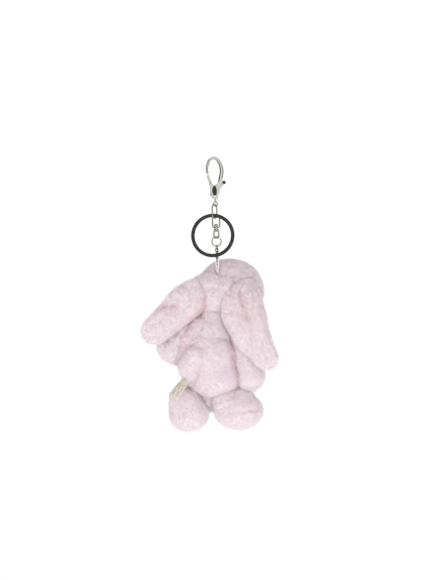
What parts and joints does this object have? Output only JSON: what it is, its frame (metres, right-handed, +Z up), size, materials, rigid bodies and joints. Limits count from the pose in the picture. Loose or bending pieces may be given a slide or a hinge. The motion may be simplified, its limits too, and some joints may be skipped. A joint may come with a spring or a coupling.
{
  "type": "plush keychain",
  "caption": "Plush rabbit keychain: a stuffed long-eared rabbit hangs by a cord and a short chain from a swivel with a flat split ring and a sprung hook clasp.",
  "frame": {"origin": "the top of the inside of the clasp's hook, on its centre plane, where the keychain hangs", "axes": "+Z up along the hanging chain, +X to the right as seen from behind the rabbit, +Y from the rabbit's back towards its face"},
  "size_m": [0.0921, 0.0614, 0.1868],
  "materials": {
    "nickel": "polished nickel plate",
    "dark_nickel": "polished nickel plate that reflects a dark room",
    "fur": "short soft plush pile, very pale pink",
    "lining": "smooth short plush, pale pink",
    "filling": "loose polyester fibre",
    "cord": "thin braided cord",
    "bead": "glossy black plastic",
    "washer": "plain moulded plastic",
    "thread": "embroidery thread",
    "label": "woven ribbon with plain printed rows"
  },
  "bodies": {
    "clasp": {"clasp_body": "nickel", "gate_pin": "nickel", "gate_spring": "nickel"},
    "gate": {"clasp_gate": "nickel"},
    "eye": {"swivel_eye": "nickel"},
    "long_link": {"oval_link": "nickel"},
    "key_ring": {"split_ring": "dark_nickel"},
    "top_frame": {"swivel_top_frame": "nickel", "swivel_rivet": "nickel"},
    "low_frame": {"swivel_low_frame": "nickel"},
    "jump": {"jump_ring": "nickel"},
    "link_1": {"chain_link_1": "nickel"},
    "link_2": {"chain_link_2": "nickel"},
    "link_3": {"chain_link_3": "nickel"},
    "link_4": {"chain_link_4": "nickel"},
    "link_5": {"chain_link_5": "nickel"},
    "rabbit": {"hanging_loop": "cord", "head_cover": "fur", "head_filling": "filling", "eye_left": "bead", "eye_right": "bead", "eye_washer_left": "washer", "eye_washer_right": "washer", "nose_stitching": "thread", "body_cover": "fur", "body_filling": "filling", "tail_cover": "fur", "tail_filling": "filling", "care_label": "label"},
    "ear_left": {"ear_left_back": "fur", "ear_left_lining": "lining"},
    "ear_right": {"ear_right_back": "fur", "ear_right_lining": "lining"},
    "arm_left": {"arm_left_cover": "fur", "arm_left_filling": "filling"},
    "arm_right": {"arm_right_cover": "fur", "arm_right_filling": "filling"},
    "leg_left": {"leg_left_cover": "fur", "leg_left_filling": "filling"},
    "leg_right": {"leg_right_cover": "fur", "leg_right_filling": "filling"}
  },
  "joints": [
    {"name": "gate_pivot", "type": "hinge", "parent": "clasp", "child": "gate", "pos_m": [-0.0022, 0, -0.0242], "axis": [0, 1, 0], "range_deg": [0, 22], "stiffness_Nm_per_rad": 0.05, "springref_deg": -11.46},
    {"name": "clasp_swivel", "type": "hinge", "parent": "clasp", "child": "eye", "pos_m": [0, 0, -0.0273], "axis": [0, 0, 1], "continuous": true},
    {"name": "eye_hinge", "type": "hinge", "parent": "eye", "child": "long_link", "pos_m": [0, 0, -0.0319], "axis": [0.8192, -0.5736, 0], "range_deg": [-30, 30]},
    {"name": "key_ring_swing", "type": "hinge", "parent": "long_link", "child": "key_ring", "pos_m": [-0.00037, -0.00053, -0.0384], "axis": [-0.9903, 0.1392, 0], "range_deg": [0, 20]},
    {"name": "frame_swing", "type": "hinge", "parent": "long_link", "child": "top_frame", "pos_m": [0, 0, -0.039], "axis": [1, 0, 0], "range_deg": [0, 15]},
    {"name": "lower_swivel", "type": "hinge", "parent": "top_frame", "child": "low_frame", "pos_m": [0, 0, -0.0475], "axis": [0, 0, 1], "continuous": true},
    {"name": "jump_swing", "type": "hinge", "parent": "low_frame", "child": "jump", "pos_m": [0, 0, -0.05295], "axis": [0.6428, 0.766, 0], "range_deg": [0, 20]},
    {"name": "chain_hinge_1", "type": "hinge", "parent": "jump", "child": "link_1", "pos_m": [0, 0, -0.05925], "axis": [0.9397, -0.342, 0], "range_deg": [-3, 15]},
    {"name": "chain_hinge_2", "type": "hinge", "parent": "link_1", "child": "link_2", "pos_m": [0, 0, -0.0614], "axis": [0.5, 0.866, 0], "range_deg": [-12, 12]},
    {"name": "chain_hinge_3", "type": "hinge", "parent": "link_2", "child": "link_3", "pos_m": [0, 0, -0.0634], "axis": [0.866, -0.5, 0], "range_deg": [-12, 12]},
    {"name": "chain_hinge_4", "type": "hinge", "parent": "link_3", "child": "link_4", "pos_m": [0, 0, -0.0655], "axis": [-0.5, -0.866, 0], "range_deg": [-12, 12]},
    {"name": "chain_hinge_5", "type": "hinge", "parent": "link_4", "child": "link_5", "pos_m": [0, 0, -0.0676], "axis": [-0.866, 0.5, 0], "range_deg": [-12, 12]},
    {"name": "rabbit_swing", "type": "hinge", "parent": "link_5", "child": "rabbit", "pos_m": [0, 0, -0.0696], "axis": [0.5, 0.866, 0], "range_deg": [-15, 15]},
    {"name": "ear_left_lift", "type": "hinge", "parent": "rabbit", "child": "ear_left", "pos_m": [-0.009, -0.0074, -0.0886], "axis": [0, 1, 0], "range_deg": [0, 30], "stiffness_Nm_per_rad": 0.02},
    {"name": "ear_right_lift", "type": "hinge", "parent": "rabbit", "child": "ear_right", "pos_m": [0.0135, -0.01, -0.095], "axis": [-1, 0, 0], "range_deg": [0, 50], "stiffness_Nm_per_rad": 0.02},
    {"name": "arm_left_flex", "type": "hinge", "parent": "rabbit", "child": "arm_left", "pos_m": [-0.0292, 0.0035, -0.1214], "axis": [0, 1, 0], "range_deg": [-8, 20], "stiffness_Nm_per_rad": 0.02},
    {"name": "arm_right_flex", "type": "hinge", "parent": "rabbit", "child": "arm_right", "pos_m": [0.0222, 0.002, -0.124], "axis": [1, 0, 0], "range_deg": [-3, 25], "stiffness_Nm_per_rad": 0.02},
    {"name": "leg_left_flex", "type": "hinge", "parent": "rabbit", "child": "leg_left", "pos_m": [-0.015, -0.0045, -0.1633], "axis": [1, 0, 0], "range_deg": [-12, 12], "stiffness_Nm_per_rad": 0.02},
    {"name": "leg_right_flex", "type": "hinge", "parent": "rabbit", "child": "leg_right", "pos_m": [0.001, -0.0045, -0.1625], "axis": [1, 0, 0], "range_deg": [-12, 12], "stiffness_Nm_per_rad": 0.02}
  ]
}
